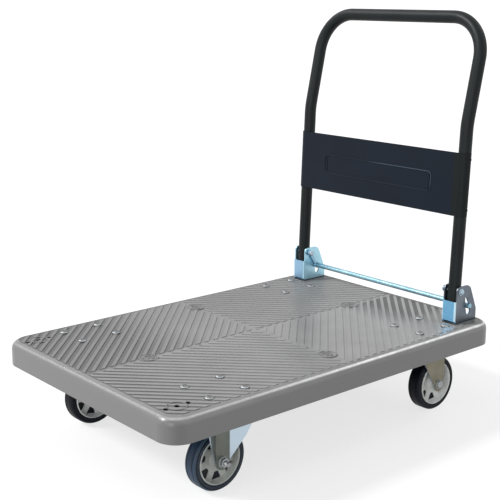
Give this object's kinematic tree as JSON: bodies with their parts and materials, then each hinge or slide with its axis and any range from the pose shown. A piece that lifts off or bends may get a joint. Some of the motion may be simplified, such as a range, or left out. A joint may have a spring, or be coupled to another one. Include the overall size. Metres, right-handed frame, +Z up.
{
  "type": "folding platform cart",
  "caption": "Flat platform cart with a ribbed deck, a folding tubular push handle with a cross panel, foot-release bar, fixed front casters and swivelling rear casters.",
  "frame": {"origin": "on the floor under the middle of the deck, at the centre of the overall footprint", "axes": "+Z up, +X towards the handle end, +Y to the left of someone who faces +X"},
  "size_m": [0.92, 0.6, 0.8954],
  "materials": {
    "deck_plastic": "satin moulded polypropylene",
    "tyre_rubber": "matte",
    "rim_plastic": "satin moulded nylon",
    "caster_steel": "pressed sheet, satin",
    "fastener_steel": "satin",
    "bracket_zinc": "bright zinc plate",
    "handle_paint": "semi-gloss powder coat",
    "panel_paint": "semi-gloss paint",
    "bar_steel": "bright zinc plate",
    "spring_steel": "oiled"
  },
  "bodies": {
    "cart": {"deck": "deck_plastic", "caster_bolts": "fastener_steel", "caster_nuts": "fastener_steel", "bracket_bolts": "fastener_steel", "bracket_nuts": "fastener_steel", "front_axle_bolts": "fastener_steel", "front_axle_nuts": "fastener_steel", "front_axle_sleeves": "caster_steel", "rigid_fork_left": "caster_steel", "rigid_fork_right": "caster_steel", "swivel_plate_left": "caster_steel", "swivel_plate_right": "caster_steel", "swivel_races": "caster_steel", "kingpins": "fastener_steel", "handle_bracket_left": "bracket_zinc", "handle_bracket_right": "bracket_zinc", "pivot_bolts": "fastener_steel", "pivot_nuts": "fastener_steel"},
    "handle": {"handle_tube": "handle_paint", "handle_panel": "panel_paint"},
    "release": {"release_bar": "bar_steel", "release_springs": "spring_steel"},
    "front_wheel_left": {"tyre_front_left": "tyre_rubber", "rim_front_left": "rim_plastic"},
    "swivel_left": {"swivel_fork_left": "caster_steel", "rear_axle_bolt_left": "fastener_steel", "rear_axle_nut_left": "fastener_steel", "rear_axle_sleeve_left": "caster_steel"},
    "rear_wheel_left": {"tyre_rear_left": "tyre_rubber", "rim_rear_left": "rim_plastic"},
    "front_wheel_right": {"tyre_front_right": "tyre_rubber", "rim_front_right": "rim_plastic"},
    "swivel_right": {"swivel_fork_right": "caster_steel", "rear_axle_bolt_right": "fastener_steel", "rear_axle_nut_right": "fastener_steel", "rear_axle_sleeve_right": "caster_steel"},
    "rear_wheel_right": {"tyre_rear_right": "tyre_rubber", "rim_rear_right": "rim_plastic"}
  },
  "joints": [
    {"name": "handle_fold", "type": "hinge", "parent": "cart", "child": "handle", "pos_m": [0.3774, 0, 0.2801], "axis": [0, -1, 0], "range_deg": [0, 97]},
    {"name": "bar_press", "type": "slide", "parent": "cart", "child": "release", "axis": [0.2756, 0, -0.9613], "range_m": [0, 0.015], "stiffness_N_per_m": 1500, "springref_m": -0.02, "deforming": ["release_springs"]},
    {"name": "front_wheel_spin_left", "type": "hinge", "parent": "cart", "child": "front_wheel_left", "pos_m": [-0.296, 0.216, 0.0625], "axis": [0, 1, 0], "continuous": true},
    {"name": "front_wheel_spin_right", "type": "hinge", "parent": "cart", "child": "front_wheel_right", "pos_m": [-0.296, -0.216, 0.0625], "axis": [0, 1, 0], "continuous": true},
    {"name": "caster_swivel_left", "type": "hinge", "parent": "cart", "child": "swivel_left", "pos_m": [0.296, 0.216, 0.15], "axis": [0, 0, 1], "continuous": true},
    {"name": "rear_wheel_spin_left", "type": "hinge", "parent": "swivel_left", "child": "rear_wheel_left", "pos_m": [0.344, 0.216, 0.0625], "axis": [0, 1, 0], "continuous": true},
    {"name": "caster_swivel_right", "type": "hinge", "parent": "cart", "child": "swivel_right", "pos_m": [0.296, -0.216, 0.15], "axis": [0, 0, 1], "continuous": true},
    {"name": "rear_wheel_spin_right", "type": "hinge", "parent": "swivel_right", "child": "rear_wheel_right", "pos_m": [0.344, -0.216, 0.0625], "axis": [0, 1, 0], "continuous": true}
  ]
}
